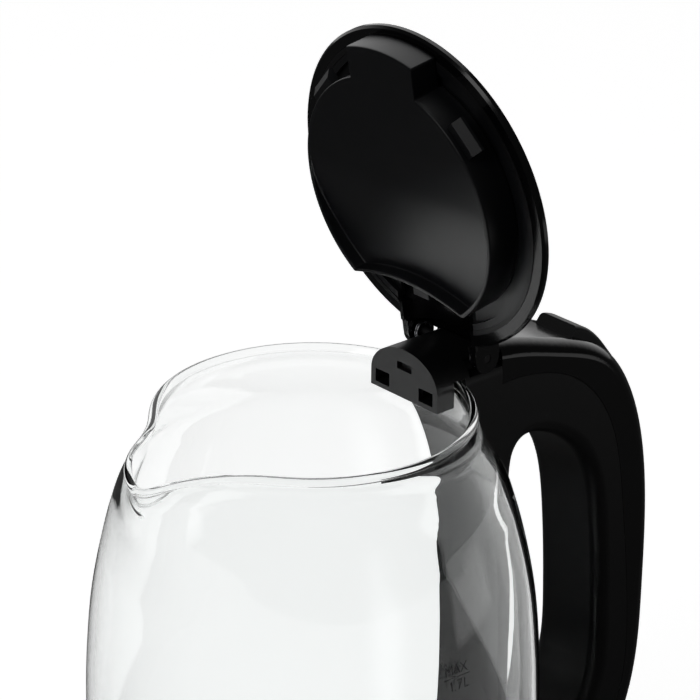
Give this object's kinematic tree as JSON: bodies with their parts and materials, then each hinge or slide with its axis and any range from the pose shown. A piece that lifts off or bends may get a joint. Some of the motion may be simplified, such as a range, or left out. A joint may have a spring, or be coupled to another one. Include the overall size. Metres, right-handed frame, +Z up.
{
  "type": "electric kettle",
  "caption": "Cordless electric kettle: pouring glass jug with a heated floor, loop handle with a lid button, hinged latching lid and a round power base.",
  "frame": {"origin": "centre of the power base's standing face, on the jug's axis", "axes": "+Z up along the jug's axis, -X towards the pouring spout, +X towards the handle"},
  "size_m": [0.2193, 0.154, 0.3354],
  "materials": {
    "clear_glass": "clear borosilicate glass, fire-polished rim",
    "gloss_black": "high-gloss black moulded plastic",
    "satin_black": "satin black moulded plastic, fine spark texture",
    "base_black": "satin black plastic",
    "inner_black": "black nylon",
    "brushed_steel": "brushed stainless steel",
    "element_steel": "drawn steel",
    "aluminium": "die-cast aluminium",
    "screw_steel": "zinc-plated steel",
    "spring_steel": "spring wire",
    "brass": "plain brass",
    "bimetal": "bimetal sheet",
    "silicone": "black silicone",
    "rubber": "black rubber"
  },
  "bodies": {
    "power_base": {"base_shell": "base_black", "base_plate": "base_black", "rubber_foot": "rubber", "base_screws": "screw_steel", "base_connector": "inner_black", "cord_gland": "rubber"},
    "connector_core": {"connector_core": "inner_black"},
    "jug": {"glass_jug": "clear_glass", "heating_plate": "brushed_steel", "plate_gasket": "silicone", "heat_diffuser": "aluminium", "heating_element": "element_steel", "lower_housing": "base_black", "trim_band": "brushed_steel", "bottom_cover": "base_black", "housing_screws": "screw_steel", "jug_connector": "inner_black", "earth_pin": "brass", "contact_sleeve": "brass", "dry_boil_discs": "bimetal", "handle_body": "satin_black", "handle_cover": "gloss_black", "hinge_block": "satin_black", "block_cap": "satin_black", "hinge_pin": "element_steel", "block_screws": "screw_steel", "foot_screws": "screw_steel", "lid_springs": "spring_steel", "button_spring": "spring_steel", "steam_tube": "inner_black", "steam_bimetal": "bimetal", "switch_pin": "element_steel"},
    "lid": {"lid_top": "gloss_black", "lid_frame": "satin_black", "lid_seal": "silicone", "lid_panel": "satin_black", "latch_springs": "spring_steel"},
    "lid_slider": {"lid_slider": "inner_black"},
    "latch_left": {"lid_latch_left": "satin_black"},
    "latch_right": {"lid_latch_right": "satin_black"},
    "release_button": {"release_button": "satin_black"},
    "push_rod": {"push_rod": "inner_black"},
    "switch_lever": {"switch_lever": "base_black"},
    "trip_rod": {"trip_rod": "inner_black"}
  },
  "joints": [
    {"name": "jug_turn", "type": "hinge", "parent": "power_base", "child": "connector_core", "pos_m": [0, 0, 0.02], "axis": [0, 0, 1], "continuous": true},
    {"name": "jug_lift", "type": "slide", "parent": "connector_core", "child": "jug", "axis": [0, 0, 1], "range_m": [0, 0.08]},
    {"name": "lid_hinge", "type": "hinge", "parent": "jug", "child": "lid", "pos_m": [0.05815, 0, 0.22507], "axis": [0, 1, 0], "range_deg": [-80.3, 0], "stiffness_Nm_per_rad": 0.04, "springref_deg": 68.75, "deforming": ["lid_springs"]},
    {"name": "slider_slide", "type": "slide", "parent": "lid", "child": "lid_slider", "axis": [-0.1685, 0, 0.9857], "range_m": [0, 0.003], "stiffness_N_per_m": 300, "springref_m": -0.003},
    {"name": "latch_left_slide", "type": "slide", "parent": "lid", "child": "latch_left", "axis": [0.1149, -0.7314, -0.6722], "range_m": [0, 0.003], "deforming": ["latch_springs"]},
    {"name": "latch_right_slide", "type": "slide", "parent": "lid", "child": "latch_right", "axis": [0.1149, 0.7314, -0.6722], "range_m": [0, 0.003]},
    {"name": "button_press", "type": "slide", "parent": "jug", "child": "release_button", "axis": [0, 0, -1], "range_m": [0, 0.003], "stiffness_N_per_m": 400, "springref_m": -0.003, "deforming": ["button_spring"]},
    {"name": "rod_slide", "type": "slide", "parent": "jug", "child": "push_rod", "axis": [-1, 0, 0], "range_m": [0, 0.003]},
    {"name": "switch_rock", "type": "hinge", "parent": "jug", "child": "switch_lever", "pos_m": [0.09, 0, 0.042], "axis": [0, 1, 0], "range_deg": [0, 12], "stiffness_Nm_per_rad": 0.02, "springref_deg": -22.92},
    {"name": "trip_slide", "type": "slide", "parent": "jug", "child": "trip_rod", "axis": [-1, 0, 0], "range_m": [0, 0.0018]}
  ],
  "couplings": [
    {"joint": "latch_left_slide", "follows": "slider_slide", "ratio": 1},
    {"joint": "latch_right_slide", "follows": "slider_slide", "ratio": 1},
    {"joint": "rod_slide", "follows": "button_press", "ratio": 1},
    {"joint": "trip_slide", "follows": "switch_rock", "m_per_rad": 0.008}
  ]
}
